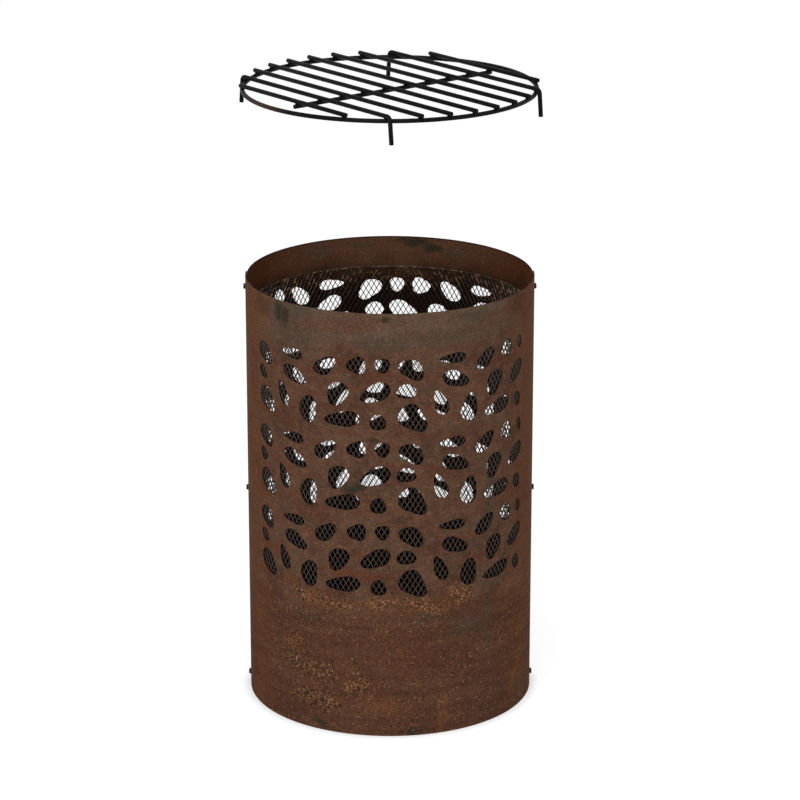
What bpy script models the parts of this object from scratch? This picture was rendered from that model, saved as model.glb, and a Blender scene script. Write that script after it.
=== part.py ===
"""Barrel fire pit with a lift-off grill grate.

Two rolled half shells with pebble-shaped openings lap at the sides and are screwed together.
Each has an expanded-metal liner inside, and an ash pan closes the bottom. The round rod grate
rests on the rim. Here it is held above its seat, as it is lifted off.
Metres, +Z up, front towards -Y, origin on the ground at the middle of the barrel.
"""
import math

import bmesh
import bpy
from mathutils import Matrix, Vector

# Barrel
BODY_DIAMETER = 0.395
BODY_HEIGHT = 0.600
SHEET = 0.0015
LAP = 0.026
FIT_GAP = 0.0003

# Ash pan
PAN_SHEET = 0.0015
PAN_FLANGE = 0.028

# Mesh liner: a diamond net, coarser than the real mesh
LINER_BOTTOM = 0.187
LINER_RIM_DISTANCE = 0.044
LINER_LAP_DISTANCE = 0.009
LINER_SHEET = 0.0016
LINER_COLUMNS = 13
LINER_ROWS = 5
LINER_STRAND = 0.0035

# Lap screws, washers and nuts, M4. The lowest ones also hold the pan, at mid flange.
SCREW_MIDDLE_HEIGHT = 0.291
SCREW_RIM_DISTANCE = 0.018
SCREW_SHANK = 0.004
SCREW_HEAD = 0.008
SCREW_HEAD_HEIGHT = 0.0026
SCREW_HEAD_EDGE = 0.0012
SCREW_PROUD = 0.0015
SCREW_CLEARANCE = 0.0003
WASHER_DIAMETER = 0.009
WASHER_THICKNESS = 0.0008
NUT_ACROSS_FLATS = 0.007
NUT_HEIGHT = 0.0032
ROUND_STEPS = 12

# Grate
ROD = 0.006
BAR_COUNT = 10
BAR_RING_DISTANCE = 0.033
BAR_OVERHANG = 0.005
BAR_DIRECTION = math.radians(-51)
LEG_BAR_PLACE = 1
LEG_DROP = 0.036
LEG_SPLAY = math.radians(5.5)
LEG_BEND_RADIUS = 0.006
LEG_BEND_POINTS = 4
CROSS_BAR_OVERHANG = 0.005
CROSS_BAR_SHIFT = 0.011
ROD_SIDES = 8
GRATE_LIFT = 0.255

# Pebble pattern: one tile, stacked upwards. A pebble is an egg: place along the arc from the
# front middle and height in its tile, length and width, the tilt of its long axis towards the
# narrow end in degrees, and how much narrower that end is.
PEBBLE_POINTS = 9
PLUG_DEPTH = 0.020
TILE_PITCH = 0.117
TILE_BOTTOM = 0.200
PLAIN_TOP = 0.045
PLAIN_SIDE = 0.080
PEBBLES = (
    (-0.199, 0.086, 0.036, 0.025, -38, 0.15),
    (-0.205, 0.058, 0.022, 0.017, -35, 0.10),
    (-0.195, 0.021, 0.042, 0.027, -42, 0.28),
    (-0.142, 0.098, 0.038, 0.014, 178, 0.30),
    (-0.139, 0.069, 0.042, 0.021, -22, 0.20),
    (-0.160, 0.039, 0.036, 0.017, 112, 0.28),
    (-0.116, 0.026, 0.038, 0.027, 85, 0.15),
    (-0.090, 0.089, 0.036, 0.022, 35, 0.05),
    (-0.045, 0.094, 0.027, 0.023, 190, 0.15),
    (-0.010, 0.095, 0.021, 0.020, -80, 0.10),
    (-0.072, 0.053, 0.036, 0.027, 235, 0.10),
    (-0.019, 0.057, 0.044, 0.024, 205, 0.15),
    (0.022, 0.059, 0.027, 0.020, 0, 0.05),
    (-0.065, 0.018, 0.051, 0.021, 187, 0.28),
    (-0.016, 0.016, 0.022, 0.022, 90, 0.12),
    (0.031, 0.021, 0.045, 0.031, -45, 0.28),
    (0.029, 0.089, 0.037, 0.025, 145, 0.10),
    (0.087, 0.100, 0.039, 0.014, 180, 0.32),
    (0.090, 0.071, 0.042, 0.021, -20, 0.12),
    (0.069, 0.040, 0.037, 0.018, 112, 0.25),
    (0.112, 0.028, 0.039, 0.026, 85, 0.12),
    (0.139, 0.091, 0.038, 0.021, 38, 0.05),
    (0.181, 0.097, 0.024, 0.023, 90, 0.05),
    (0.213, 0.098, 0.020, 0.014, -70, 0.10),
    (0.155, 0.055, 0.037, 0.027, 240, 0.12),
    (0.204, 0.059, 0.040, 0.022, 215, 0.15),
    (0.162, 0.019, 0.051, 0.020, 190, 0.28),
    (0.208, 0.018, 0.022, 0.018, -60, 0.08),
)

# The barrel's walls are facets, one lap wide, with the middle of one at each seam. A facet's
# middle lies nearer the axis than its corners, and walls are set out at the middle.
FRONT_OUTSIDE = BODY_DIAMETER / 2
REAR_OUTSIDE = FRONT_OUTSIDE - SHEET - FIT_GAP
PAN_OUTSIDE = REAR_OUTSIDE - SHEET - FIT_GAP
HALF_FACETS = round(math.pi * FRONT_OUTSIDE / LAP)
FACET_ANGLE = math.pi / HALF_FACETS
CORNER_FACTOR = 1 / math.cos(FACET_ANGLE / 2)

PAN_SCREW_HEIGHT = PAN_FLANGE / 2
SCREW_HEIGHTS = (PAN_SCREW_HEIGHT, SCREW_MIDDLE_HEIGHT, BODY_HEIGHT - SCREW_RIM_DISTANCE)
TILE_COUNT = int((BODY_HEIGHT - PLAIN_TOP - TILE_BOTTOM) / TILE_PITCH)
BAR_PITCH = 2 * (FRONT_OUTSIDE - BAR_RING_DISTANCE) / (BAR_COUNT - 1)


def clear_scene():
    for old in list(bpy.data.objects):
        bpy.data.objects.remove(old, do_unlink=True)


def new_collection(name):
    group = bpy.data.collections.new(name)
    bpy.context.scene.collection.children.link(group)
    return group


def painted(name, colour, roughness, metallic):
    material = bpy.data.materials.new(name)
    material.use_nodes = True
    surface = material.node_tree.nodes["Principled BSDF"]
    surface.inputs["Base Color"].default_value = (*colour, 1)
    surface.inputs["Roughness"].default_value = roughness
    surface.inputs["Metallic"].default_value = metallic
    return material


def add_object(name, data, group, material=None):
    thing = bpy.data.objects.new(name, data)
    group.objects.link(thing)
    if material:
        data.materials.append(material)
    return thing


def mesh_from(bm, name):
    mesh = bpy.data.meshes.new(name)
    bm.to_mesh(mesh)
    bm.free()
    return mesh


def line_mesh(name, points, closed=False):
    """An edge-only profile for the Screw modifier."""
    bm = bmesh.new()
    corners = [bm.verts.new(p) for p in points]
    for a, b in zip(corners, corners[1:]):
        bm.edges.new((a, b))
    if closed:
        bm.edges.new((corners[-1], corners[0]))
    return mesh_from(bm, name)


def turn(thing, angle, steps):
    """Turns a profile round its object's Z axis."""
    screw = thing.modifiers.new("turn", "SCREW")
    screw.angle = angle
    screw.steps = steps
    screw.render_steps = steps
    screw.use_merge_vertices = True
    screw.merge_threshold = 0.00001


def thicken(thing, thickness):
    """Adds the sheet's thickness on the side that the surface's normals point away from."""
    solid = thing.modifiers.new("sheet", "SOLIDIFY")
    solid.thickness = thickness
    solid.offset = -1
    solid.use_even_offset = True


def cut(thing, cutter):
    difference = thing.modifiers.new("cut", "BOOLEAN")
    difference.operation = "DIFFERENCE"
    difference.solver = "EXACT"
    difference.object = cutter


def make_cutter(name, mesh, group):
    cutter = add_object(name, mesh, group)
    cutter.hide_render = True
    cutter.display_type = "WIRE"
    return cutter


def egg(pebble, points):
    """Outline of one pebble: (arc, height) pairs in its tile."""
    arc, height, length, width, tilt, taper = pebble
    lean = math.radians(tilt)
    for step in range(points):
        turn_angle = math.tau * step / points
        along = length / 2 * math.cos(turn_angle)
        across = width / 2 * math.sin(turn_angle) * (1 - taper * math.cos(turn_angle))
        yield (
            arc + along * math.cos(lean) - across * math.sin(lean),
            height + along * math.sin(lean) + across * math.cos(lean),
        )


def on_front(arc, height):
    """The place on the front shell's outside at an arc length from its middle."""
    angle = arc / FRONT_OUTSIDE - math.pi / 2
    return Vector((FRONT_OUTSIDE * math.cos(angle), FRONT_OUTSIDE * math.sin(angle), height))


def pebble_cutter_mesh():
    """Plugs through the front shell's wall, one for each pebble of each tile."""
    bm = bmesh.new()
    widest = math.pi / 2 * FRONT_OUTSIDE - PLAIN_SIDE
    for tile in range(TILE_COUNT):
        bottom = TILE_BOTTOM + tile * TILE_PITCH
        for pebble in PEBBLES:
            arc, _, length, *_ = pebble
            if abs(arc) + length / 2 > widest:
                continue
            outward = on_front(arc, 0).normalized() * PLUG_DEPTH
            disc = bmesh.ops.create_circle(bm, cap_ends=True, segments=PEBBLE_POINTS, radius=1)
            for corner, (along, height) in zip(disc["verts"], egg(pebble, PEBBLE_POINTS)):
                corner.co = on_front(along, bottom + height) - outward
            plug = bmesh.ops.extrude_face_region(bm, geom=list(disc["verts"][0].link_faces))
            outer = [corner for corner in plug["geom"] if isinstance(corner, bmesh.types.BMVert)]
            bmesh.ops.translate(bm, verts=outer, vec=outward * 2)
    bmesh.ops.recalc_face_normals(bm, faces=bm.faces)
    return mesh_from(bm, "pebble_plugs")


def screw_hole_mesh():
    """Rods along X through both seams, one at each screw height."""
    bm = bmesh.new()
    for height in SCREW_HEIGHTS:
        place = Matrix.Translation((0, 0, height)) @ Matrix.Rotation(math.pi / 2, 4, "Y")
        bmesh.ops.create_cone(
            bm, cap_ends=True, segments=ROUND_STEPS,
            radius1=SCREW_SHANK / 2 + SCREW_CLEARANCE, radius2=SCREW_SHANK / 2 + SCREW_CLEARANCE,
            depth=BODY_DIAMETER * 1.2, matrix=place,
        )
    return mesh_from(bm, "screw_holes")


def make_shell(name, outside, middle_angle, cutters, group, material):
    """A rolled half shell. It reaches half a lap past the seams at +X and -X."""
    facets = HALF_FACETS + 1
    corner = outside * CORNER_FACTOR
    profile = line_mesh(name, [(corner, 0, BODY_HEIGHT), (corner, 0, 0)])
    sweep = facets * FACET_ANGLE
    profile.transform(Matrix.Rotation(middle_angle - sweep / 2, 4, "Z"))
    shell = add_object(name, profile, group, material)
    turn(shell, sweep, facets)
    thicken(shell, SHEET)
    for cutter in cutters:
        cut(shell, cutter)
    return shell


def make_liner(name, shell_inside, middle_angle, group, material):
    """A diamond net bent to stand inside its shell, with a strand along every edge."""
    outside = shell_inside - FIT_GAP
    width = outside * math.pi - LAP - 2 * LINER_LAP_DISTANCE
    height = BODY_HEIGHT - LINER_RIM_DISTANCE - LINER_BOTTOM
    diamond_width = width / LINER_COLUMNS
    diamond_height = height / LINER_ROWS
    cells = LINER_COLUMNS + LINER_ROWS + 2
    bm = bmesh.new()
    bmesh.ops.create_grid(bm, x_segments=cells, y_segments=cells, size=cells / 2)
    slant = Matrix(((0.5, -0.5, 0), (0.5, 0.5, 0), (0, 0, 1)))
    for corner in bm.verts:
        flat = slant @ corner.co
        if (cells + LINER_COLUMNS) % 2:
            flat.x += 0.5
        corner.co = (flat.x * diamond_width, 0, flat.y * diamond_height)
    lift = LINER_ROWS % 2 * diamond_height / 2
    for corner in bm.verts:
        corner.co.z += lift
    for side in (-1, 1):
        for place, direction in (
            (Vector((side * width / 2, 0, 0)), Vector((side, 0, 0))),
            (Vector((0, 0, side * height / 2)), Vector((0, 0, side))),
        ):
            bmesh.ops.bisect_plane(
                bm, geom=bm.verts[:] + bm.edges[:] + bm.faces[:], dist=0.000001,
                plane_co=place, plane_no=direction, clear_outer=True,
            )
    diamonds = list(bm.faces)
    bmesh.ops.inset_individual(bm, faces=diamonds, thickness=LINER_STRAND / 2)
    bmesh.ops.delete(bm, geom=diamonds, context="FACES")
    for corner in bm.verts:
        angle = middle_angle + corner.co.x / outside
        level = LINER_BOTTOM + height / 2 + corner.co.z
        corner.co = (outside * math.cos(angle), outside * math.sin(angle), level)
    liner = add_object(name, mesh_from(bm, name), group, material)
    thicken(liner, LINER_SHEET)
    return liner


def make_pan(cutters, group, material):
    """The ash pan: a flat floor with a flange that stands inside the shells' bottom edge."""
    corner = PAN_OUTSIDE * CORNER_FACTOR
    profile = line_mesh("base_pan", [(corner, 0, PAN_FLANGE), (corner, 0, 0), (0, 0, 0)])
    profile.transform(Matrix.Rotation(FACET_ANGLE / 2, 4, "Z"))
    pan = add_object("base_pan", profile, group, material)
    turn(pan, math.tau, 2 * HALF_FACETS)
    thicken(pan, PAN_SHEET)
    for cutter in cutters:
        cut(pan, cutter)
    return pan


def turned_fastener(name, points, closed, group, material):
    thing = add_object(name, line_mesh(name, points, closed), group, material)
    turn(thing, math.tau, ROUND_STEPS)
    return thing


def face_outwards(thing, side, reach, height):
    """Lays a part's own Z axis along X, pointing out of the barrel on the given side."""
    thing.matrix_world = (
        Matrix.Translation((side * reach, 0, height))
        @ Matrix.Rotation(side * math.pi / 2, 4, "Y")
    )


def make_nut(name, group, cutter_group, material):
    bm = bmesh.new()
    radius = NUT_ACROSS_FLATS / 2 / math.cos(math.pi / 6)
    bmesh.ops.create_cone(
        bm, cap_ends=True, segments=6, radius1=radius, radius2=radius, depth=NUT_HEIGHT
    )
    nut = add_object(name, mesh_from(bm, name), group, material)
    bore = bmesh.new()
    bore_radius = SCREW_SHANK / 2 + SCREW_CLEARANCE
    bmesh.ops.create_cone(
        bore, cap_ends=True, segments=ROUND_STEPS, radius1=bore_radius, radius2=bore_radius,
        depth=NUT_HEIGHT * 2,
    )
    cutter = make_cutter(name + "_bore", mesh_from(bore, name + "_bore"), cutter_group)
    cutter.parent = nut
    cut(nut, cutter)
    return nut


def make_fasteners(group, cutter_group, material):
    """A screw, a washer and a nut through both laps at each height, on both sides."""
    shank = SCREW_SHANK / 2
    head = SCREW_HEAD / 2
    top = SCREW_HEAD_HEIGHT
    shoulder = top - SCREW_HEAD_EDGE
    seat = FRONT_OUTSIDE + FIT_GAP
    for side, side_name in ((-1, "left"), (1, "right")):
        for height, level in zip(SCREW_HEIGHTS, ("low", "middle", "high")):
            inner_face = REAR_OUTSIDE - SHEET
            if height == PAN_SCREW_HEIGHT:
                inner_face = PAN_OUTSIDE - PAN_SHEET
            label = f"{side_name}_{level}"
            washer_top = inner_face - FIT_GAP
            nut_top = washer_top - WASHER_THICKNESS - FIT_GAP
            tip = nut_top - NUT_HEIGHT - SCREW_PROUD - seat
            screw = turned_fastener(
                "screw_" + label,
                [(0, 0, top), (head * 0.7, 0, top), (head, 0, shoulder), (head, 0, 0),
                 (shank, 0, 0), (shank, 0, tip), (0, 0, tip)],
                False, group, material,
            )
            face_outwards(screw, side, seat, height)
            bore = shank + SCREW_CLEARANCE
            rim = WASHER_DIAMETER / 2
            washer = turned_fastener(
                "washer_" + label,
                [(rim, 0, 0), (rim, 0, -WASHER_THICKNESS), (bore, 0, -WASHER_THICKNESS),
                 (bore, 0, 0)],
                True, group, material,
            )
            face_outwards(washer, side, washer_top, height)
            nut = make_nut("nut_" + label, group, cutter_group, material)
            face_outwards(nut, side, nut_top - NUT_HEIGHT / 2, height)


def make_rod(name, start, end, frame, group, material):
    """A straight round rod between two points of the grate's own frame."""
    start = Vector(start)
    run = Vector(end) - start
    bm = bmesh.new()
    place = Matrix.Translation(start + run / 2) @ run.to_track_quat("Z", "Y").to_matrix().to_4x4()
    bmesh.ops.create_cone(
        bm, cap_ends=True, segments=ROD_SIDES, radius1=ROD / 2, radius2=ROD / 2,
        depth=run.length, matrix=place,
    )
    rod = add_object(name, mesh_from(bm, name), group, material)
    rod.data.shade_smooth()
    rod.data.set_sharp_from_angle(angle=math.radians(40))
    rod.parent = frame
    return rod


def leg_path(half_length, across, level):
    """A leg bar's centre line: along X at its level, with both ends bent down and splayed."""
    sweep = math.pi / 2 - LEG_SPLAY
    bend_start = half_length - LEG_BEND_RADIUS * math.sin(sweep)
    end = []
    for step in range(LEG_BEND_POINTS + 1):
        angle = sweep * step / LEG_BEND_POINTS
        end.append((
            bend_start + LEG_BEND_RADIUS * math.sin(angle),
            across,
            level - LEG_BEND_RADIUS * (1 - math.cos(angle)),
        ))
    foot_level = level - LEG_DROP
    drop = end[-1][2] - foot_level
    end.append((end[-1][0] + drop * math.tan(LEG_SPLAY), across, foot_level))
    return [(-x, y, z) for x, y, z in reversed(end)] + end


def make_bent_rod(name, points, frame, group, material):
    curve = bpy.data.curves.new(name, "CURVE")
    curve.dimensions = "3D"
    curve.bevel_depth = ROD / 2
    curve.bevel_resolution = (ROD_SIDES - 4) // 2
    curve.use_fill_caps = True
    path = curve.splines.new("POLY")
    path.points.add(len(points) - 1)
    for knot, place in zip(path.points, points):
        knot.co = (*place, 1)
    rod = add_object(name, curve, group, material)
    rod.parent = frame
    return rod


def make_grate(group, material):
    """A ring that seats on the rim, ten bars on top of it and one bar crossing under them.

    The crossing bar lies a little off the middle, towards the front.
    """
    ring_radius = FRONT_OUTSIDE
    seat_level = BODY_HEIGHT + FIT_GAP + ROD / 2
    bar_level = ROD + FIT_GAP
    leg_radius = ring_radius + ROD + FIT_GAP
    frame = bpy.data.objects.new("grate_frame", None)
    group.objects.link(frame)
    frame.location = (0, 0, seat_level + GRATE_LIFT)
    frame.rotation_euler = (0, 0, BAR_DIRECTION)
    bpy.ops.mesh.primitive_torus_add(
        major_segments=2 * HALF_FACETS, minor_segments=ROD_SIDES, major_radius=ring_radius,
        minor_radius=ROD / 2,
    )
    ring = bpy.context.object
    ring.name = "grate_ring"
    ring.data.name = "grate_ring"
    ring.data.materials.append(material)
    ring.data.shade_smooth()
    for owner in list(ring.users_collection):
        owner.objects.unlink(ring)
    group.objects.link(ring)
    ring.parent = frame
    for bar in range(BAR_COUNT):
        across = (bar - (BAR_COUNT - 1) / 2) * BAR_PITCH
        name = f"grate_bar_{bar + 1:02d}"
        if bar in (LEG_BAR_PLACE, BAR_COUNT - 1 - LEG_BAR_PLACE):
            half_length = math.sqrt(leg_radius**2 - across**2)
            path = leg_path(half_length, across, bar_level)
            make_bent_rod(name, path, frame, group, material)
        else:
            reach = math.sqrt(ring_radius**2 - across**2) + BAR_OVERHANG
            make_rod(
                name, (-reach, across, bar_level), (reach, across, bar_level),
                frame, group, material,
            )
    reach = (BAR_COUNT - 1) / 2 * BAR_PITCH + CROSS_BAR_OVERHANG
    make_rod(
        "grate_cross_bar", (CROSS_BAR_SHIFT, -reach, 0), (CROSS_BAR_SHIFT, reach, 0),
        frame, group, material,
    )


def build():
    clear_scene()
    group = new_collection("fire_pit")
    cutter_group = new_collection("cutters")
    rusted = painted("weathering_steel", (0.102, 0.048, 0.028), 0.85, 0.1)
    mesh_steel = painted("expanded_metal", (0.062, 0.042, 0.034), 0.7, 0.4)
    black_paint = painted("black_heatproof_paint", (0.012, 0.012, 0.013), 0.45, 0.1)
    fastener_steel = painted("blackened_steel", (0.02, 0.019, 0.018), 0.5, 0.6)

    plugs = pebble_cutter_mesh()
    front_plugs = make_cutter("front_pebbles", plugs, cutter_group)
    rear_plugs = make_cutter("rear_pebbles", plugs, cutter_group)
    rear_plugs.rotation_euler = (0, 0, math.pi)
    holes = make_cutter("lap_screw_holes", screw_hole_mesh(), cutter_group)
    front, rear = -math.pi / 2, math.pi / 2
    make_shell("front_shell", FRONT_OUTSIDE, front, (front_plugs, holes), group, rusted)
    make_shell("rear_shell", REAR_OUTSIDE, rear, (rear_plugs, holes), group, rusted)
    make_liner("front_liner", FRONT_OUTSIDE - SHEET, front, group, mesh_steel)
    make_liner("rear_liner", REAR_OUTSIDE - SHEET, rear, group, mesh_steel)
    make_pan((holes,), group, rusted)
    make_fasteners(group, cutter_group, fastener_steel)
    make_grate(group, black_paint)


build()
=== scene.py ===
"""A barrel fire pit with its grill grate held above it, dressed round the CAD frame.

Metres throughout, +Z up, front towards -Y. Each section below makes one piece, or one group of
like pieces, in the order in which the real fire pit is put together.
"""

import math
import random

import bmesh
import bpy
from mathutils import Matrix, Vector


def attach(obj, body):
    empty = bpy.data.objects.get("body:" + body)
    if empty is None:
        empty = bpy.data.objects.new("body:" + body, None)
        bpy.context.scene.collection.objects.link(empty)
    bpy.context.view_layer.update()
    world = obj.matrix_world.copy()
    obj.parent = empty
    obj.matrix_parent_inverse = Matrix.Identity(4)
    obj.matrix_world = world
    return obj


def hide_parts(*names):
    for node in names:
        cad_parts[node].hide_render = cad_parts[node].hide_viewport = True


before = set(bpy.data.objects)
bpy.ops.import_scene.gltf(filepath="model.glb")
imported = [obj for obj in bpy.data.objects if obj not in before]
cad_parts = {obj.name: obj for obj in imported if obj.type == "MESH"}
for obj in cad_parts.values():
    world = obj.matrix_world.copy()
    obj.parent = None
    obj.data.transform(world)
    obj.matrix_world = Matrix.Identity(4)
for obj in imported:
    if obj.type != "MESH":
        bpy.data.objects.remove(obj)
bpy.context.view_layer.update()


# Camera. The picture is taken from well in front of the barrel and above the grate, through a
# long lens, so the barrel's sides stay almost parallel and its rim is an open ellipse.
camera_place = Vector((0, -4.30, 1.812))
camera_aim = Vector((0.0138, 0, 0.418))
camera_data = bpy.data.cameras.new("camera")
camera_data.sensor_width = 36
camera_data.lens = 147.15
camera_data.clip_end = 60
camera = bpy.data.objects.new("camera", camera_data)
camera.location = camera_place
camera.rotation_mode = "QUATERNION"
camera.rotation_quaternion = (camera_aim - camera_place).to_track_quat("-Z", "Y")
bpy.context.scene.collection.objects.link(camera)
bpy.context.scene.camera = camera
bpy.context.scene.view_settings.view_transform = "Standard"


# The weathering steel of the barrel: rolled sheet left to rust, then sealed by its own brown
# patina. To the eye it is matt and warm brown, cloudy over a hand's width and finely speckled,
# greyer below the rim and redder, with orange flecks, under the openings.
barrel_height = 0.600
openings_foot = 0.200
front_outside = 0.1975
sheet = 0.0015
fit_gap = 0.0003


def colour(hex_value):
    """An sRGB hex colour as the linear RGBA that sockets take."""
    channels = [int(hex_value[i:i + 2], 16) / 255 for i in (1, 3, 5)]
    return (*[c / 12.92 if c < 0.04045 else ((c + 0.055) / 1.055) ** 2.4 for c in channels], 1)


def add_node(tree, kind, inputs=None, output=None, **settings):
    """Adds a node with its settings, and values or links in its inputs. Returns an output.

    Sockets go by name, or by number where names repeat. MapRange takes its value in 0 and maps
    the range from 1 to 2 onto the range from 3 to 4, which is 0 to 1 unless it is given. A Mix
    of colours takes the share of the second in 0, and the two colours in 6 and 7.
    """
    made = tree.nodes.new("ShaderNode" + kind)
    for name, value in settings.items():
        setattr(made, name, value)
    for socket, value in (inputs or {}).items():
        if isinstance(value, bpy.types.NodeSocket):
            tree.links.new(value, made.inputs[socket])
        else:
            made.inputs[socket].default_value = value
    if output:
        return made.outputs[output]
    return next((one for one in made.outputs if one.enabled), None)


def new_finish(name):
    """A material with an empty node tree, and the Object coordinates that its patterns use."""
    finish = bpy.data.materials.new(name)
    finish.use_nodes = True
    finish.node_tree.nodes.clear()
    place = add_node(finish.node_tree, "TexCoord", output="Object")
    return finish, finish.node_tree, place


rusted_steel, tree, place = new_finish("weathering_steel_patina")

# The rust varies at five sizes, here in millimetres: clouds, drifts drawn out round the barrel,
# mottling, flecks, and a grain that is coarser than real rust so that it shows.
cloud_size, drift_size, mottle_size, fleck_size, grain_size = 50, 90, 11, 3.4, 2.2
clouds = add_node(tree, "TexNoise", {
    "Vector": place, "Scale": 1000 / cloud_size, "Detail": 5, "Roughness": 0.6,
})
stretched = add_node(tree, "Mapping", {"Vector": place, "Scale": (1, 1, 6)})
drifts = add_node(tree, "TexNoise", {
    "Vector": stretched, "Scale": 1000 / drift_size, "Detail": 6, "Roughness": 0.6,
    "Distortion": 0.6,
})
mottling = add_node(tree, "TexNoise", {
    "Vector": place, "Scale": 1000 / mottle_size, "Detail": 6, "Roughness": 0.68,
})
specks = add_node(tree, "TexNoise", {
    "Vector": place, "Scale": 1000 / fleck_size, "Detail": 4, "Roughness": 0.7,
})
grain = add_node(tree, "TexNoise", {
    "Vector": place, "Scale": 1000 / grain_size, "Detail": 3, "Roughness": 0.75,
})

# Heights at which the look changes wander by a centimetre.
height = add_node(tree, "SeparateXYZ", {0: place}, output="Z")
wander = add_node(tree, "MapRange", {0: clouds, 1: 0.3, 2: 0.7, 3: -0.012, 4: 0.012})
level = add_node(tree, "Math", {0: height, 1: wander}, operation="ADD")

# Brown all over, mottled lighter, with redder and more olive drifts. Under the rim the sheet is
# a greyer brown, except towards the laps, and under the openings it is redder, and darker with
# painted shade.
cloudy = add_node(tree, "MapRange", {0: clouds, 1: 0.38, 2: 0.64})
mottled = add_node(tree, "MapRange", {0: mottling, 1: 0.46, 2: 0.66, 4: 0.70})
red_drifts = add_node(tree, "MapRange", {0: drifts, 1: 0.50, 2: 0.66, 4: 0.65})
olive_drifts = add_node(tree, "MapRange", {0: drifts, 1: 0.45, 2: 0.34, 4: 0.6})
near_rim = add_node(tree, "MapRange", {
    0: level, 1: barrel_height - 0.065, 2: barrel_height - 0.040,
})
grey_drifts = add_node(tree, "MapRange", {0: drifts, 1: 0.56, 2: 0.38, 3: 0.35, 4: 0.75})
near_rim = add_node(tree, "Math", {0: near_rim, 1: grey_drifts}, operation="MULTIPLY")
from_middle = add_node(tree, "SeparateXYZ", {0: place}, output="X")
from_middle = add_node(tree, "Math", {0: from_middle}, operation="ABSOLUTE")
towards_front = add_node(tree, "MapRange", {0: from_middle, 1: 0.180, 2: 0.150})
near_rim = add_node(tree, "Math", {0: near_rim, 1: towards_front}, operation="MULTIPLY")
# Painted shade: under the openings the sheet is darkened as well as reddened.
near_foot_rust_and_painted_shade = add_node(tree, "MapRange", {
    0: level, 1: openings_foot - 0.002, 2: openings_foot - 0.040, 4: 0.8,
})
patina = colour("#3b281e")
for mask, tint in (
    (cloudy, "#4b3528"), (mottled, "#583e30"), (red_drifts, "#48281c"),
    (olive_drifts, "#403528"), (near_rim, "#4c3e33"), (near_foot_rust_and_painted_shade, "#42291d"),
):
    patina = add_node(tree, "Mix", {0: mask, 6: patina, 7: colour(tint)}, data_type="RGBA")

# Beside the laps, from 150 mm off the middle outwards, the sheet is a deeper orange, in patches.
aside = add_node(tree, "MapRange", {0: from_middle, 1: 0.150, 2: 0.190, 4: 0.68})
aside_patchiness = add_node(tree, "MapRange", {0: mottling, 1: 0.40, 2: 0.60, 3: 0.45, 4: 1.0})
aside = add_node(tree, "Math", {0: aside, 1: aside_patchiness}, operation="MULTIPLY")
patina = add_node(tree, "Mix", {0: aside, 6: patina, 7: colour("#502a0c")}, data_type="RGBA")

# Inside, the sheet is a plainer brown, more orange towards the seams. The rear half's inner
# face is nearer the axis than the front half's.
flat_place = add_node(tree, "VectorMath", {0: place, 1: (1, 1, 0)}, operation="MULTIPLY")
axis_distance = add_node(tree, "VectorMath", {0: flat_place}, output="Value", operation="LENGTH")
depth = add_node(tree, "SeparateXYZ", {0: place}, output="Y")
front_step = add_node(tree, "MapRange", {0: depth, 1: 0.001, 2: -0.001, 4: sheet + fit_gap})
from_axis = add_node(tree, "Math", {0: axis_distance, 1: front_step}, operation="SUBTRACT")
rear_middle = front_outside - 1.5 * sheet - fit_gap
inside = add_node(tree, "MapRange", {
    0: from_axis, 1: rear_middle + 0.0004, 2: rear_middle - 0.0004,
})
from_seam = add_node(tree, "Math", {0: depth}, operation="ABSOLUTE")
inner_tint = add_node(tree, "MapRange", {0: from_seam, 1: 0.19, 2: 0.08})
inner_tint = add_node(tree, "Mix", {0: inner_tint, 6: colour("#4a2f1f"), 7: colour("#40210e")},
                      data_type="RGBA")
warm_inside = add_node(tree, "Math", {0: inside, 1: 0.8}, operation="MULTIPLY")
patina = add_node(tree, "Mix", {0: warm_inside, 6: patina, 7: inner_tint}, data_type="RGBA")

# Single marks of the sheet, and bands of painted shade down its sides, which show on both of its
# faces. Each is given by the arc from the front middle to its centre, the level of its centre, its
# width and its height, in millimetres, and its tilt in degrees. Their edges wander by up to 15 mm
# over 22 mm.
edge_wander_size = 22.2
edge_wander_reach = 0.03
mark_depth = 0.03
warp = add_node(tree, "TexNoise", {
    "Vector": place, "Scale": 1000 / edge_wander_size, "Detail": 5,
}, output="Color")
warp = add_node(tree, "VectorMath", {0: warp, 1: (0.5, 0.5, 0.5)}, operation="SUBTRACT")
warped = add_node(tree, "VectorMath", {0: warp, 1: (edge_wander_reach,) * 3, 2: place},
                  operation="MULTIPLY_ADD")
dark_scale = (
    (-166, 586, 36, 40, 0), (-152, 582, 16, 40, -14),
    (-5, 594, 22, 12, 0), (583, 593, 76, 18, 0), (556, 586, 44, 18, -10),
    (31, 2, 36, 18, 0), (-99, 8, 44, 12, -8), (-48, 358, 44, 24, 14), (-21, 426, 22, 12, 0),
)
grey_haze = (
    (731, 586, 70, 30, 10), (660, 590, 60, 14, 0), (520, 580, 50, 30, 0),
    (-168, 585, 50, 44, 0), (-130, 591, 70, 24, 0), (-135, 560, 90, 50, 0), (-13, 559, 110, 34, 0),
    (71, 562, 130, 36, 0), (118, 587, 60, 26, 0),
    (105, 151, 74, 40, -8), (50, 170, 50, 26, 10), (150, 330, 30, 120, 0), (221, 24, 30, 60, 0),
)
olive_streaks = ((144, 135, 26, 150, 0), (-118, 165, 60, 26, 12), (84, 240, 30, 60, 0))
orange_bloom = (
    (-150, 203, 60, 34, -40), (-116, 190, 80, 34, -14), (-72, 187, 80, 32, 0),
    (-14, 194, 90, 30, 6), (52, 188, 100, 34, 0), (98, 196, 60, 44, 20),
    (188, 187, 80, 30, 16), (71, 33, 20, 96, 0), (207, 48, 18, 80, -36), (-8, 45, 66, 34, 0),
    (-44, 72, 50, 40, 0), (-150, 120, 50, 30, 0),
)
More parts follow.
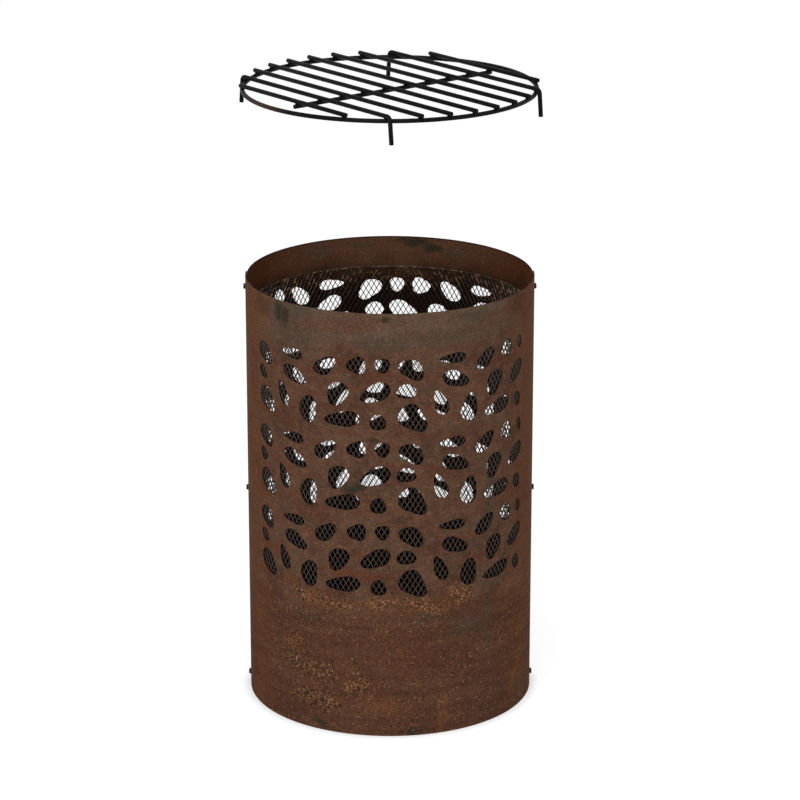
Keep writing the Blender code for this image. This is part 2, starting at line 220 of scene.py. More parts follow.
red_bloom = (
    (-91, 586, 70, 22, 4), (-40, 580, 60, 16, 0), (71, 588, 70, 20, 0), (21, 592, 44, 10, 0),
    (30, 120, 90, 70, -20), (-20, 60, 60, 40, 30), (-100, 140, 60, 40, 0), (140, 90, 60, 50, 0),
)
# Painted shade: darker bands down both sides of the barrel and at the sides of the rim, where the
# sheet turns away from the light.
painted_side_shade = (
    (-264, 60, 70, 300, 0), (264, 60, 70, 300, 0), (-210, 585, 56, 44, 0), (208, 585, 50, 44, 0),
)
fleck_clusters = (
    (-145, 127, 60, 34, -10), (-150, 98, 70, 60, 0), (-105, 84, 110, 70, 0), (-110, 45, 130, 60, 0),
    (-50, 110, 22, 16, 0), (-44, 72, 80, 64, 0), (-81, 40, 60, 14, -4), (98, 198, 60, 50, 0),
    (-72, 188, 90, 36, 0), (-14, 194, 80, 34, 0), (-130, 194, 80, 40, -20), (52, 188, 100, 38, 0),
    (88, 60, 40, 12, 0),
)


def reach_of_marks(marks):
    """How far a place lies in any of the marks, from 0 at their edges to 1 in the middle."""
    reach = 0
    for arc, middle, wide, tall, tilt in marks:
        turn = arc / 1000 / front_outside - math.pi / 2
        spot_place = add_node(tree, "Mapping", {
            "Vector": warped,
            "Location": (front_outside * math.cos(turn), front_outside * math.sin(turn),
                         middle / 1000),
            "Rotation": (math.radians(tilt), 0, turn),
            "Scale": (mark_depth, wide / 2000, tall / 2000),
        }, vector_type="TEXTURE")
        spot = add_node(tree, "TexGradient", {0: spot_place}, output="Fac",
                        gradient_type="SPHERICAL")
        reach = add_node(tree, "Math", {0: reach, 1: spot}, operation="MAXIMUM")
    return reach


# Each group of marks is mixed in with its tint and strength; the side bands are painted shade.
for marks, tint, strength in (
    (grey_haze, "#3b3128", 0.60), (olive_streaks, "#3a3223", 0.45),
    (orange_bloom, "#57361f", 0.50), (red_bloom, "#533024", 0.20),
    (painted_side_shade, "#3a2114", 0.50), (dark_scale, "#27231a", 0.92),
):
    mask = add_node(tree, "MapRange", {0: reach_of_marks(marks), 1: 0.05, 2: 0.6, 4: strength})
    patina = add_node(tree, "Mix", {0: mask, 6: patina, 7: colour(tint)}, data_type="RGBA")

# Flecks stand alone on the upper sheet and crowd together in the clusters and near the foot:
# the denser they are there, the lower the level of noise that shows as one.
density = add_node(tree, "MapRange", {
    0: level, 1: openings_foot + 0.020, 2: openings_foot - 0.040, 3: 0.06, 4: 0.45,
})
patchy = add_node(tree, "MapRange", {0: clouds, 1: 0.40, 2: 0.60, 3: 0.25, 4: 1.0})
density = add_node(tree, "Math", {0: density, 1: patchy}, operation="MULTIPLY")
clusters = reach_of_marks(fleck_clusters)
clusters = add_node(tree, "MapRange", {0: clusters, 1: 0.0, 2: 0.7, 4: 0.85})
density = add_node(tree, "Math", {0: density, 1: clusters}, operation="MAXIMUM")
crowded = add_node(tree, "Math", {0: density, 1: 0.13, 2: specks}, operation="MULTIPLY_ADD")
orange_flecks = add_node(tree, "MapRange", {0: crowded, 1: 0.63, 2: 0.71, 4: 0.95})
salmon = add_node(tree, "MapRange", {0: mottling, 1: 0.44, 2: 0.54})
bleached = add_node(tree, "MapRange", {0: grain, 1: 0.56, 2: 0.66})
fleck_tint = add_node(tree, "Mix", {0: salmon, 6: colour("#6c4c2c"), 7: colour("#754b36")},
                      data_type="RGBA")
fleck_tint = add_node(tree, "Mix", {0: bleached, 6: fleck_tint, 7: colour("#86705c")},
                      data_type="RGBA")
pits = add_node(tree, "Math", {0: density, 1: -0.14, 2: specks}, operation="MULTIPLY_ADD")
pits = add_node(tree, "MapRange", {0: pits, 1: 0.37, 2: 0.29, 4: 0.9})
pale = add_node(tree, "MapRange", {0: grain, 1: 0.72, 2: 0.80, 4: 0.7})
for mask, tint in (
    (orange_flecks, fleck_tint), (pits, colour("#1d1613")), (pale, colour("#7d6352")),
):
    patina = add_node(tree, "Mix", {0: mask, 6: patina, 7: tint}, data_type="RGBA")

# The grain lightens and darkens all of this, more so under the openings, where the drifts do too.
grain_light = add_node(tree, "MapRange", {0: grain, 1: 0.3, 2: 0.7, 3: 0.40, 4: 1.60})
drift_light = add_node(tree, "MapRange", {0: drifts, 1: 0.36, 2: 0.64, 3: 1.16, 4: 0.84})
low_down = add_node(tree, "MapRange", {
    0: level, 1: openings_foot + 0.030, 2: openings_foot - 0.050,
})
coarser = add_node(tree, "MapRange", {0: low_down, 3: 0.75, 4: 1.0})
for strength, shade in ((coarser, grain_light), (low_down, drift_light)):
    patina = add_node(tree, "Mix", {0: strength, 6: patina, 7: shade},
                      data_type="RGBA", blend_type="MULTIPLY")

# Inside, from a little below the rim downwards, the sheet is painted near black as shade from the
# mesh in front of it, and the rim's cut edge shows as a thin dark line there.
painted_shade_behind_mesh = add_node(tree, "MapRange", {
    0: level, 1: barrel_height - 0.020, 2: barrel_height - 0.070, 3: 0.05, 4: 1.0,
})
painted_shade_behind_mesh = add_node(tree, "Math", {0: inside, 1: painted_shade_behind_mesh}, operation="MULTIPLY")
rim_edge = add_node(tree, "MapRange", {
    0: height, 1: barrel_height - 0.0025, 2: barrel_height - 0.0010, 4: 0.7,
})
rim_edge = add_node(tree, "Math", {0: inside, 1: rim_edge}, operation="MULTIPLY")
for mask, tint in ((painted_shade_behind_mesh, "#140905"), (rim_edge, "#1d1512")):
    patina = add_node(tree, "Mix", {0: mask, 6: patina, 7: colour(tint)}, data_type="RGBA")

relief = add_node(tree, "Math", {0: grain, 1: 0.35, 2: specks}, operation="MULTIPLY_ADD")
relief = add_node(tree, "Bump", {"Height": relief, "Strength": 0.35, "Distance": 0.0006})
roughness = add_node(tree, "MapRange", {0: specks, 1: 0.35, 2: 0.65, 3: 0.75, 4: 0.95})
surface = add_node(tree, "BsdfPrincipled", {
    "Base Color": patina, "Roughness": roughness, "Normal": relief, "IOR": 1.5,
    "Specular IOR Level": 0.04,
})
add_node(tree, "OutputMaterial", {"Surface": surface})


# The two half shells: 1.5 mm sheet, cut flat with three rows of the same pebble pattern, then
# rolled. They lap by 26 mm at the sides, the front half outside, and screws go through both.
lap = 0.026
rear_outside = front_outside - sheet - fit_gap
screw_shank = 0.004
screw_clearance = 0.0003
screw_heights = (0.014, 0.291, 0.582)
tile_height = 0.117
tile_bottoms = [openings_foot + row * tile_height for row in range(3)]
pebble_steps = 36
hole_steps = 16
roll_step = math.radians(2)
merge_distance = 0.00001
# A pebble is an egg: arc from the front middle, height in its tile, length, width, tilt in
# degrees towards its narrow end, and how much narrower that end is. Some are three-cornered as
# well: how far their corners stand out, as a share of the reach, and the direction of one.
pebbles = (
    (-0.199, 0.086, 0.036, 0.025, -38, 0.15, 0.04, -60),
    (-0.205, 0.058, 0.022, 0.017, -35, 0.10, 0, 0),
    (-0.195, 0.021, 0.042, 0.027, -42, 0.28, 0, 0),
    (-0.142, 0.098, 0.038, 0.014, 178, 0.30, 0.03, 180),
    (-0.139, 0.069, 0.042, 0.021, -22, 0.20, 0.03, 200),
    (-0.160, 0.039, 0.036, 0.017, 112, 0.28, 0, 0),
    (-0.116, 0.026, 0.038, 0.027, 85, 0.02, 0.07, -65),
    (-0.090, 0.089, 0.036, 0.022, 35, 0.05, 0.07, 50),
    (-0.045, 0.094, 0.027, 0.023, 190, 0.12, 0.08, 180),
    (-0.010, 0.095, 0.021, 0.020, -80, 0.10, 0.06, -85),
    (-0.072, 0.053, 0.036, 0.027, 235, 0.10, 0.07, -98),
    (-0.019, 0.057, 0.044, 0.024, 205, 0.12, 0.05, 205),
    (0.022, 0.059, 0.027, 0.020, 0, 0.05, 0.06, 90),
    (-0.065, 0.018, 0.051, 0.021, 187, 0.26, 0.03, 180),
    (-0.016, 0.016, 0.022, 0.022, 90, 0.12, 0.04, 90),
    (0.031, 0.021, 0.045, 0.031, -45, 0.20, 0.08, -42),
    (0.029, 0.089, 0.037, 0.025, 145, 0.02, 0.08, -58),
    (0.087, 0.100, 0.039, 0.014, 180, 0.32, 0.03, 180),
    (0.090, 0.071, 0.042, 0.021, -20, 0.08, 0.06, 98),
    (0.069, 0.040, 0.037, 0.018, 112, 0.25, 0.03, 110),
    (0.112, 0.028, 0.039, 0.026, 85, 0.12, 0.05, 68),
    (0.139, 0.091, 0.038, 0.021, 38, 0.05, 0.04, 60),
    (0.181, 0.097, 0.024, 0.023, 90, 0.05, 0.05, 60),
    (0.213, 0.098, 0.020, 0.014, -70, 0.10, 0, 0),
    (0.155, 0.055, 0.037, 0.027, 240, 0.12, 0.06, -95),
    (0.204, 0.059, 0.040, 0.022, 215, 0.15, 0, 0),
    (0.162, 0.019, 0.051, 0.020, 190, 0.28, 0.03, 180),
    (0.208, 0.018, 0.022, 0.018, -60, 0.08, 0, 0),
)
upright = Matrix.Rotation(math.pi / 2, 4, "X")


def pebble_outline(pebble, bottom):
    arc, level, length, width, tilt, taper, stand_out, corner = pebble
    lean = math.radians(tilt)
    points = []
    for step in range(pebble_steps):
        turn = math.tau * step / pebble_steps
        along = length / 2 * math.cos(turn)
        across = width / 2 * math.sin(turn) * (1 - taper * math.cos(turn))
        aside = along * math.cos(lean) - across * math.sin(lean)
        above = along * math.sin(lean) + across * math.cos(lean)
        from_corner = math.atan2(above, aside) - math.radians(corner)
        reach = 1 + stand_out * math.cos(3 * from_corner)
        points.append((arc + reach * aside, bottom + level + reach * above))
    return points


def hole_outline(along, level):
    radius = screw_shank / 2 + screw_clearance
    return [(along + radius * math.cos(math.tau * step / hole_steps),
             level + radius * math.sin(math.tau * step / hole_steps)) for step in range(hole_steps)]


def roll_round_axis(bm, radius, middle):
    """Rolls a sheet that stands flat in the XZ plane round the barrel's axis, to a radius and
    with its middle at an angle. Its faces end up outwards, so that a thickness goes inwards."""
    for corner in bm.verts:
        turn = middle + corner.co.x / radius
        reach = radius - corner.co.y
        corner.co = (reach * math.cos(turn), reach * math.sin(turn), corner.co.z)
    bm.normal_update()
    bmesh.ops.recalc_face_normals(bm, faces=bm.faces[:])
    bm.faces.ensure_lookup_table()
    if bm.faces[0].normal.xy.dot(bm.faces[0].calc_center_median().xy) < 0:
        bmesh.ops.reverse_faces(bm, faces=bm.faces[:])
    bm.normal_update()


def finished_piece(bm, name, finish, body, nodes=(), sharp=40):
    """Makes the piece's object, shades it, hangs it on its body and hides the CAD parts it
    replaces.
    """
    mesh = bpy.data.meshes.new(name)
    bm.to_mesh(mesh)
    bm.free()
    mesh.shade_smooth()
    mesh.set_sharp_from_angle(angle=math.radians(sharp))
    mesh.materials.append(finish)
    piece = bpy.data.objects.new(name, mesh)
    bpy.context.scene.collection.objects.link(piece)
    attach(piece, body)
    if nodes:
        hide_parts(*nodes)


def half_shell(name, outside, middle, node):
    width = math.pi * outside + lap
    outlines = [pebble_outline(pebble, bottom) for bottom in tile_bottoms for pebble in pebbles]
    outlines += [hole_outline(side * math.pi / 2 * outside, level)
                 for side in (-1, 1) for level in screw_heights]
    bm = bmesh.new()
    plate = bmesh.ops.create_grid(bm, x_segments=1, y_segments=1, size=0.5, matrix=upright)
    bmesh.ops.scale(bm, verts=plate["verts"], vec=(width, 1, barrel_height))
    bmesh.ops.translate(bm, verts=plate["verts"], vec=(0, 0, barrel_height / 2))
    bmesh.ops.delete(bm, geom=bm.faces[:], context="FACES_ONLY")
    for outline in outlines:
        ring = bmesh.ops.create_circle(bm, cap_ends=False, segments=len(outline), radius=1)
        for corner, (along, level) in zip(ring["verts"], outline):
            corner.co = (along, 0, level)
    bmesh.ops.triangle_fill(bm, edges=bm.edges[:], use_beauty=True, normal=(0, -1, 0))
    strips = math.ceil(width / outside / roll_step)
    for strip in range(1, strips):
        bmesh.ops.bisect_plane(
            bm, geom=bm.verts[:] + bm.edges[:] + bm.faces[:], dist=merge_distance,
            plane_co=((strip / strips - 0.5) * width, 0, 0), plane_no=(1, 0, 0),
        )
    roll_round_axis(bm, outside, middle)
    bmesh.ops.solidify(bm, geom=bm.faces[:], thickness=sheet)
    finished_piece(bm, name, rusted_steel, "barrel", [node])


front = -math.pi / 2
rear = math.pi / 2
half_shell("front_half_shell", front_outside, front, "front_shell")
half_shell("rear_half_shell", rear_outside, rear, "rear_shell")


# The ash pan: a disc of the same sheet with its edge turned up 28 mm. It stands inside the
# foot of the shells, and the lowest two screws go through its flange.
pan_outside = rear_outside - sheet - fit_gap
pan_flange = 0.028
pan_bend = 0.003
pan_middle = 0.03
pan_steps = 144
hole_margin = 0.0055
profile = [(pan_middle, 0)]
for turn in (0, math.pi / 6, math.pi / 3, math.pi / 2):
    profile.append((pan_outside - pan_bend * (1 - math.sin(turn)),
                    pan_bend * (1 - math.cos(turn))))
# Level with the screws, the flange has a row of panels large enough for their holes.
for level in (screw_heights[0] - hole_margin, screw_heights[0] + hole_margin, pan_flange):
    profile.append((pan_outside, level))
# The first corner is half a step aside, so that each screw meets the middle of a panel.
first = Matrix.Rotation(-math.pi / pan_steps, 3, "Z")
bm = bmesh.new()
corners = [bm.verts.new(first @ Vector((reach, 0, level))) for reach, level in profile]
edges = [bm.edges.new(pair) for pair in zip(corners, corners[1:])]
bmesh.ops.spin(
    bm, geom=corners + edges, cent=(0, 0, 0), axis=(0, 0, 1), angle=math.tau, steps=pan_steps,
    use_merge=True,
)
bmesh.ops.remove_doubles(bm, verts=bm.verts[:], dist=merge_distance)
bmesh.ops.holes_fill(bm, edges=[
    edge for edge in bm.edges if edge.is_boundary and edge.verts[0].co.xy.length < 2 * pan_middle
])
bm.normal_update()
for side in (-1, 1):
    middle = Vector((side * pan_outside, 0, screw_heights[0]))
    panel = min(bm.faces, key=lambda face: (face.calc_center_median() - middle).length)
    outline = list(panel.edges)
    bmesh.ops.delete(bm, geom=[panel], context="FACES_ONLY")
    facing = Matrix.Translation(middle) @ Matrix.Rotation(side * math.pi / 2, 4, "Y")
    ring = bmesh.ops.create_circle(
        bm, cap_ends=False, segments=hole_steps, radius=screw_shank / 2 + screw_clearance,
        matrix=facing,
    )
    outline += list({edge for corner in ring["verts"] for edge in corner.link_edges})
    bmesh.ops.triangle_fill(bm, edges=outline, use_beauty=True, normal=(side, 0, 0))
# The faces point away from a place above the pan, so that the thickness goes inwards.
above_pan = Vector((0, 0, 0.1))
bmesh.ops.recalc_face_normals(bm, faces=bm.faces[:])
if bm.faces[0].normal.dot(bm.faces[0].calc_center_median() - above_pan) < 0:
    bmesh.ops.reverse_faces(bm, faces=bm.faces[:])
bm.normal_update()
bmesh.ops.solidify(bm, geom=bm.faces[:], thickness=sheet)
finished_piece(bm, "ash_pan", rusted_steel, "barrel", ["base_pan"])


# The mesh behind the openings: expanded steel, slit and stretched into diamonds 7.6 by 12.7 mm
# and left to brown. Each half stands just inside its shell, welded to it at the edges.
bare_mesh, tree, place = new_finish("expanded_steel_browned")
# Dull and dark: thin brown rust over grey steel, patchy over 15 mm, with a bite that is drawn
# coarser than it is, at 1 mm, so that it shows. The strands' faces towards the inside are
# brown-black, and near the top they carry painted glints, lighter strokes of painted highlight.
patch_size, glint_size, bite_size = 15.4, 7.14, 1.11
patches = add_node(tree, "TexNoise", {
    "Vector": place, "Scale": 1000 / patch_size, "Detail": 4, "Roughness": 0.6,
})
patches = add_node(tree, "MapRange", {0: patches, 1: 0.38, 2: 0.62})
steel = add_node(tree, "Mix", {0: patches, 6: colour("#2f221d"), 7: colour("#403029")},
                 data_type="RGBA")
way_out = add_node(tree, "VectorMath", {0: place, 1: (1, 1, 0)}, operation="MULTIPLY")
way_out = add_node(tree, "VectorMath", {0: way_out}, operation="NORMALIZE")
facing = add_node(tree, "TexCoord", output="Normal")
outward = add_node(tree, "VectorMath", {0: facing, 1: way_out}, output="Value",
                   operation="DOT_PRODUCT")
fire_side = add_node(tree, "MapRange", {0: outward, 1: 0.7, 2: 0.3})
strand_level = add_node(tree, "SeparateXYZ", {0: place}, output="Z")
# Painted highlight: near the top the inner faces get light glints, where light falls in over the
# rim.
painted_glints_near_top = add_node(tree, "MapRange", {0: strand_level, 1: 0.510, 2: 0.540})
glints = add_node(tree, "TexNoise", {"Vector": place, "Scale": 1000 / glint_size, "Detail": 3})
glints = add_node(tree, "MapRange", {0: glints, 1: 0.48, 2: 0.62})
painted_glints_near_top = add_node(tree, "Math", {0: painted_glints_near_top, 1: glints}, operation="MULTIPLY")
dark_and_painted_glints = add_node(tree, "Mix", {0: painted_glints_near_top, 6: colour("#1f110a"), 7: colour("#705a45")},
                data_type="RGBA")
steel = add_node(tree, "Mix", {0: fire_side, 6: steel, 7: dark_and_painted_glints}, data_type="RGBA")
bite = add_node(tree, "TexNoise", {"Vector": place, "Scale": 1000 / bite_size, "Detail": 2})
bump = add_node(tree, "Bump", {"Height": bite, "Strength": 0.3, "Distance": 0.0002})
surface = add_node(tree, "BsdfPrincipled", {
    "Base Color": steel, "Roughness": 0.62, "Metallic": 0.35, "Normal": bump,
})
add_node(tree, "OutputMaterial", {"Surface": surface})

mesh_top = 0.556
mesh_bottom = 0.187
diamond_width = 0.0076
diamond_height = 0.0127
strand_width = 0.0017
strand_thickness = 0.0010
strand_twist = 0.0005
mesh_lap_distance = 0.009
fine_merge_distance = 0.000001


def expanded_mesh(name, shell_inside, middle, node):
    outside = shell_inside - fit_gap
    width = outside * math.pi - lap - 2 * mesh_lap_distance
    height = mesh_top - mesh_bottom
    # A square grid, turned by 45 degrees and stretched, gives the diamonds, and is cut to size.
    columns = round(width / diamond_width)
    rows = round(height / diamond_height)
    cells = columns + rows + 2
    bm = bmesh.new()
    bmesh.ops.create_grid(bm, x_segments=cells, y_segments=cells, size=cells / 2, matrix=upright)
    slant = Matrix(((0.5, 0, -0.5), (0, 1, 0), (0.5, 0, 0.5)))
    shift = Vector(((cells + columns) % 2 * 0.5, 0, rows % 2 * 0.5))
    for corner in bm.verts:
        flat = slant @ corner.co + shift
        corner.co = (flat.x * width / columns, 0, flat.z * height / rows)
    for side in (-1, 1):
        for edge_place in (Vector((side * width / 2, 0, 0)), Vector((0, 0, side * height / 2))):
            bmesh.ops.bisect_plane(
                bm, geom=bm.verts[:] + bm.edges[:] + bm.faces[:], dist=fine_merge_distance,
                plane_co=edge_place, plane_no=edge_place, clear_outer=True,
            )
    diamonds = list(bm.faces)
    bmesh.ops.inset_individual(bm, faces=diamonds, thickness=strand_width / 2)
    # Stretching twists each strand, so an opening leans in at its top and out at its foot. From
    # above, the strands look narrow from outside and broad from inside.
    for diamond in diamonds:
        centre = diamond.calc_center_median()
        for corner in diamond.verts:
            rise = (corner.co.z - centre.z) / (diamond_height / 2)
            corner.co.y = strand_twist * (1 + rise)
    bmesh.ops.delete(bm, geom=diamonds, context="FACES")
    bmesh.ops.translate(bm, verts=bm.verts[:], vec=(0, 0, (mesh_top + mesh_bottom) / 2))
    roll_round_axis(bm, outside, middle)
    bmesh.ops.solidify(bm, geom=bm.faces[:], thickness=strand_thickness)
    finished_piece(bm, name, bare_mesh, "barrel", [node], sharp=30)


expanded_mesh("front_mesh", front_outside - sheet, front, "front_liner")
expanded_mesh("rear_mesh", rear_outside - sheet, rear, "rear_liner")


# M4 pan-head screws, washers and hexagon nuts, six of each, in black oxide steel. They clamp
# the laps at three heights on both sides, heads outside, and the lowest also hold the pan.
black_oxide, tree, place = new_finish("black_oxide_steel")
# Near black with a faint sheen, worn a little browner in patches of 3 mm.
wear_size = 3.125
wear = add_node(tree, "TexNoise", {"Vector": place, "Scale": 1000 / wear_size, "Detail": 3})
wear = add_node(tree, "MapRange", {0: wear, 1: 0.5, 2: 0.7, 4: 0.6})
oxide = add_node(tree, "Mix", {0: wear, 6: colour("#17171a"), 7: colour("#2b2320")},
                 data_type="RGBA")
surface = add_node(tree, "BsdfPrincipled", {
    "Base Color": oxide, "Roughness": 0.42, "Metallic": 0.8,
})
add_node(tree, "OutputMaterial", {"Surface": surface})

head_radius = 0.004
head_height = 0.0026
# How far the head's edge lies inside its radius and below its top, from the flat to the side.
head_rounding = ((0.0014, 0), (0.0007, 0.00015), (0.0002, 0.0007), (0, 0.0014))
head_foot_edge = 0.0001
recess_reach = 0.0021
recess_half_width = 0.0004
recess_depth = 0.0015
recess_taper = 0.8
thread_pitch = 0.0007
thread_depth = 0.00025
# How far a thread's root and crest lie above the foot of its pitch.
thread_root = 0.0001
thread_crest = 0.000315
tip_edge = 0.0004
tip_edge_height = 0.0005
washer_radius = 0.0045
washer_thickness = 0.0008
washer_edge = 0.00015
nut_across_flats = 0.007
nut_height = 0.0032
nut_corner_bevel = 0.0005
screw_proud = 0.0015
shank_steps = 24
washer_steps = 32


def corners_in(made):
    return [one for one in made if isinstance(one, bmesh.types.BMVert)]


def edges_in(made):
    return [one for one in made if isinstance(one, bmesh.types.BMEdge)]


def turned(bm, points, steps):
    """Spins a profile of (radius, level) pairs round Z into a closed skin."""
    corners = [bm.verts.new((reach, 0, level)) for reach, level in points]
    edges = [bm.edges.new(pair) for pair in zip(corners, corners[1:])]
    bmesh.ops.spin(bm, geom=corners + edges, cent=(0, 0, 0), axis=(0, 0, 1), angle=math.tau,
                   steps=steps, use_merge=True)
    bmesh.ops.remove_doubles(bm, verts=bm.verts[:], dist=fine_merge_distance)


def lap_screw(tip):
    """A pan-head screw along Z, its head's seat at 0 and its tip below, with a cross recess."""
    shank = screw_shank / 2
    profile = [(head_radius - inset, head_height - drop) for inset, drop in head_rounding]
    profile += [(head_radius, head_foot_edge), (head_radius - head_foot_edge, 0), (shank, 0)]
    for thread in range(1, int(-tip / thread_pitch)):
        level = -thread_pitch * thread
        profile += [(shank, level + thread_crest), (shank - thread_depth, level + thread_root)]
    profile += [(shank, tip + tip_edge_height), (shank - tip_edge, tip), (0, tip)]
    bm = bmesh.new()
    turned(bm, profile, shank_steps)
    top_rim = [edge for edge in bm.edges if edge.is_boundary]
    arm, half = recess_reach, recess_half_width
    cross = ((half, half), (half, arm), (-half, arm), (-half, half), (-arm, half), (-arm, -half),
             (-half, -half), (-half, -arm), (half, -arm), (half, -half), (arm, -half), (arm, half))
    ring = bmesh.ops.create_circle(bm, cap_ends=False, segments=12, radius=1)
    for corner, (along, across) in zip(ring["verts"], cross):
        corner.co = (along, across, head_height)
    mouth = list({edge for corner in ring["verts"] for edge in corner.link_edges})
    bmesh.ops.triangle_fill(bm, edges=top_rim + mouth, use_beauty=True, normal=(0, 0, 1))
    walls = bmesh.ops.extrude_edge_only(bm, edges=mouth)["geom"]
    for corner in corners_in(walls):
        corner.co = (corner.co.x * recess_taper, corner.co.y * recess_taper,
                     head_height - recess_depth)
    floor_edges = [edge for edge in edges_in(walls) if edge.is_boundary]
    bmesh.ops.triangle_fill(bm, edges=floor_edges, use_beauty=True, normal=(0, 0, 1))
    bmesh.ops.recalc_face_normals(bm, faces=bm.faces[:])
    return bm


def lap_washer():
    bore = screw_shank / 2 + screw_clearance
    bm = bmesh.new()
    turned(bm, [
        (bore, 0), (washer_radius - washer_edge, 0), (washer_radius, -washer_edge),
        (washer_radius, -washer_thickness), (bore, -washer_thickness), (bore, 0),
    ], washer_steps)
    bmesh.ops.recalc_face_normals(bm, faces=bm.faces[:])
    return bm


def lap_nut():
    """A hexagon nut along Z with turned-off corners and a round bore."""
    corner_radius = nut_across_flats / 2 / math.cos(math.pi / 6)
    bore = screw_shank / 2 + screw_clearance
    bm = bmesh.new()
    outer = bmesh.ops.create_circle(bm, cap_ends=False, segments=6, radius=corner_radius)
    inner = bmesh.ops.create_circle(bm, cap_ends=False, segments=shank_steps, radius=bore)
    bmesh.ops.translate(bm, verts=outer["verts"] + inner["verts"], vec=(0, 0, -nut_height))
    bmesh.ops.triangle_fill(bm, edges=bm.edges[:], use_beauty=True, normal=(0, 0, 1))
    raised = bmesh.ops.extrude_face_region(bm, geom=bm.faces[:])["geom"]
    bmesh.ops.translate(bm, verts=corners_in(raised), vec=(0, 0, nut_height))
    bmesh.ops.recalc_face_normals(bm, faces=bm.faces[:])
    tips = [corner for corner in bm.verts if corner.co.xy.length > corner_radius * 0.99]
    bmesh.ops.bevel(bm, geom=tips, offset=nut_corner_bevel, offset_type="OFFSET", segments=2,
                    profile=0.5, affect="VERTICES", material=-1)
    return bm


def lay_across_seam(bm, side, reach, level):
    """Turns a part's own Z axis to point out of the barrel at one seam."""
    bmesh.ops.transform(bm, verts=bm.verts[:], matrix=(
        Matrix.Translation((side * reach, 0, level)) @ Matrix.Rotation(side * math.pi / 2, 4, "Y")
    ))


head_seat = front_outside + fit_gap
for side, side_name in ((-1, "left"), (1, "right")):
    for level, level_name in zip(screw_heights, ("low", "middle", "high")):
        label = f"{side_name}_{level_name}"
        clamped_inside = pan_outside - sheet if level_name == "low" else rear_outside - sheet
        washer_face = clamped_inside - fit_gap
        nut_face = washer_face - washer_thickness - fit_gap
        tip = nut_face - nut_height - screw_proud - head_seat
        for part, part_name, reach in (
            (lap_screw(tip), "screw", head_seat),
            (lap_washer(), "washer", washer_face),
            (lap_nut(), "nut", nut_face),
        ):
            lay_across_seam(part, side, reach, level)
            finished_piece(part, f"lap_{part_name}_{label}", black_oxide, "barrel",
                           [f"{part_name}_{label}"], sharp=30)


# The grill grate: 6 mm round rod, a ring with ten bars welded on top of it and one bar under
# them. Two of the bars have both ends bent down as feet that hang outside the rim.
black_paint, tree, place = new_finish("black_heatproof_paint")
# Heatproof paint on rod: satin black, dulled in patches of 17 mm, with a first brown bloom of
# rust where the ring has been rubbed at its left front. It is slightly pebbled, which is drawn
# coarser than it is so that it shows.
pebbling_size, dulling_size = 1.43, 16.7
rub_middle = (-0.163, -0.111, 0.858)
rub_reach = (0.060, 0.016, 0.0065)
rub_direction = math.radians(-55.7)
pebbling = add_node(tree, "TexNoise", {
    "Vector": place, "Scale": 1000 / pebbling_size, "Detail": 3,
})
dulling = add_node(tree, "TexNoise", {"Vector": place, "Scale": 1000 / dulling_size, "Detail": 4})
dulling = add_node(tree, "MapRange", {0: dulling, 1: 0.40, 2: 0.66})
paint = add_node(tree, "Mix", {0: dulling, 6: colour("#050506"), 7: colour("#0d0c0b")},
                 data_type="RGBA")
rub_place = add_node(tree, "Mapping", {
    "Vector": place, "Location": rub_middle, "Rotation": (0, 0, rub_direction), "Scale": rub_reach,
}, vector_type="TEXTURE")
rub = add_node(tree, "TexGradient", {0: rub_place}, output="Fac", gradient_type="SPHERICAL")
rub = add_node(tree, "Math", {0: rub, 1: pebbling}, operation="MULTIPLY")
rub = add_node(tree, "MapRange", {0: rub, 1: 0.04, 2: 0.42, 4: 0.8})
paint = add_node(tree, "Mix", {0: rub, 6: paint, 7: colour("#38241b")}, data_type="RGBA")
bump = add_node(tree, "Bump", {"Height": pebbling, "Strength": 0.12, "Distance": 0.0003})
roughness = add_node(tree, "MapRange", {0: dulling, 3: 0.45, 4: 0.60})
surface = add_node(tree, "BsdfPrincipled", {
    "Base Color": paint, "Roughness": roughness, "Normal": bump, "IOR": 1.5,
    "Specular IOR Level": 0.06,
})
add_node(tree, "OutputMaterial", {"Surface": surface})

rod_radius = 0.003
rod_sides = 16
rod_end_bevel = 0.0005
ring_steps = 160
bar_count = 10
bar_ring_distance = 0.033
bar_pitch = 2 * (front_outside - bar_ring_distance) / (bar_count - 1)
bar_overhang = 0.005
cross_bar_overhang = 0.005
cross_bar_shift = 0.011
bar_level = 2 * rod_radius + fit_gap
leg_bars = (1, 8)
leg_drop = 0.036
leg_splay = math.radians(5.5)
leg_bend_radius = 0.006
leg_bend_steps = 10
lift_off = 0.255
ring_level = barrel_height + fit_gap + rod_radius + lift_off
bar_direction = math.radians(-51)
grate_place = Matrix.Translation((0, 0, ring_level)) @ Matrix.Rotation(bar_direction, 4, "Z")
along_bar = Matrix.Rotation(math.pi / 2, 4, "Y")


def grate_piece(bm, name, nodes=()):
    bmesh.ops.recalc_face_normals(bm, faces=bm.faces[:])
    bmesh.ops.transform(bm, verts=bm.verts[:], matrix=grate_place)
    finished_piece(bm, name, black_paint, "grate", nodes)


def ease_rod_ends(bm):
    """Rounds off the sheared end of each rod."""
    ends = [edge for edge in bm.edges if any(len(face.verts) > 4 for face in edge.link_faces)]
    bmesh.ops.bevel(bm, geom=ends, offset=rod_end_bevel, offset_type="OFFSET", segments=2,
                    profile=0.5, affect="EDGES", material=-1)


def straight_rod(length, place):
    bm = bmesh.new()
    bmesh.ops.create_cone(bm, cap_ends=True, segments=rod_sides, radius1=rod_radius,
                          radius2=rod_radius, depth=length, matrix=place)
    ease_rod_ends(bm)
    return bm


